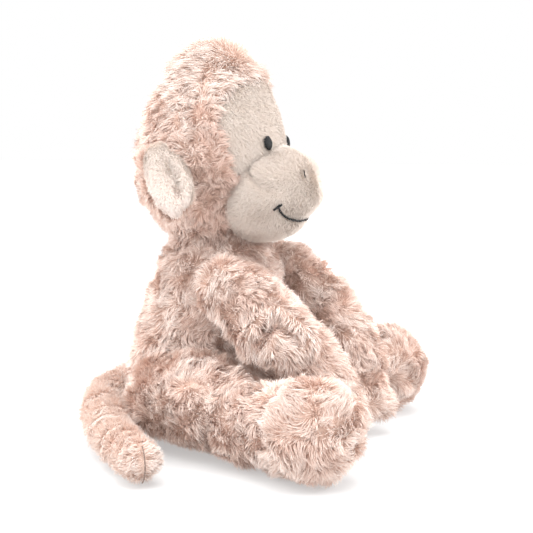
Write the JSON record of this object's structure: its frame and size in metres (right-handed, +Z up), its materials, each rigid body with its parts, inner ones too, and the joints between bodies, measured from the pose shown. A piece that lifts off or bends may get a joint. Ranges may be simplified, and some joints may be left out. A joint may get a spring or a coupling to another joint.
{
  "type": "stuffed monkey",
  "caption": "Seated plush monkey with long arms, round ears, a stitched face and a curled tail; it sits on a flat weighted seat, and its head, limbs and tail turn.",
  "frame": {"origin": "middle of the flat seat that the toy sits on", "axes": "+Z up, the face looks along -Y, the toy's left is +X"},
  "size_m": [0.2751, 0.2159, 0.257],
  "materials": {
    "fur": "long-pile plush, pale pink beige, swirled tufts",
    "plush": "short-pile plush, cream",
    "filling": "loose polyester fibre",
    "pellets": "plastic granules in a thin cloth bag",
    "thread": "charcoal embroidery thread",
    "seam_thread": "pink-brown sewing thread"
  },
  "bodies": {
    "torso": {"torso_cover": "fur", "torso_filling": "filling", "seat_pellet_bag": "pellets", "neck_seam": "seam_thread"},
    "head": {"head_hood": "fur", "head_filling": "filling", "face_panel": "plush", "muzzle_panel": "plush", "muzzle_filling": "filling", "eye_left": "thread", "eye_right": "thread", "mouth_stitch": "thread", "mouth_corner_left": "thread", "mouth_corner_right": "thread", "nostril_stitch_left": "thread", "nostril_stitch_right": "thread", "ear_lining_left": "plush", "ear_lining_right": "plush", "ear_back_left": "fur", "ear_back_right": "fur"},
    "arm_left": {"arm_cover_left": "fur", "arm_filling_left": "filling"},
    "arm_right": {"arm_cover_right": "fur", "arm_filling_right": "filling"},
    "leg_left": {"leg_cover_left": "fur", "leg_filling_left": "filling", "foot_sole_left": "fur"},
    "leg_right": {"leg_cover_right": "fur", "leg_filling_right": "filling", "foot_sole_right": "fur"},
    "tail": {"tail_cover": "fur", "tail_filling": "filling", "tail_tip_stitch": "seam_thread"}
  },
  "joints": [
    {"name": "head_turn", "type": "hinge", "parent": "torso", "child": "head", "pos_m": [0, -0.001, 0.127], "axis": [0, 0, 1], "range_deg": [-60, 60]},
    {"name": "shoulder_left", "type": "hinge", "parent": "torso", "child": "arm_left", "pos_m": [0.045, -0.027, 0.1035], "axis": [-0.866, 0, 0.5], "range_deg": [0, 80]},
    {"name": "shoulder_right", "type": "hinge", "parent": "torso", "child": "arm_right", "pos_m": [-0.045, -0.027, 0.1035], "axis": [-0.866, 0, -0.5], "range_deg": [0, 80]},
    {"name": "hip_left", "type": "hinge", "parent": "torso", "child": "leg_left", "pos_m": [0.05, 0.01, 0.033], "axis": [-0.9087, -0.4174, 0], "range_deg": [-70, 0]},
    {"name": "hip_right", "type": "hinge", "parent": "torso", "child": "leg_right", "pos_m": [-0.05, 0.01, 0.033], "axis": [-0.9288, 0.3707, 0], "range_deg": [-70, 0]},
    {"name": "tail_swing", "type": "hinge", "parent": "torso", "child": "tail", "pos_m": [0, 0.054, 0.029], "axis": [0, 0, 1], "range_deg": [-75, 0]}
  ]
}
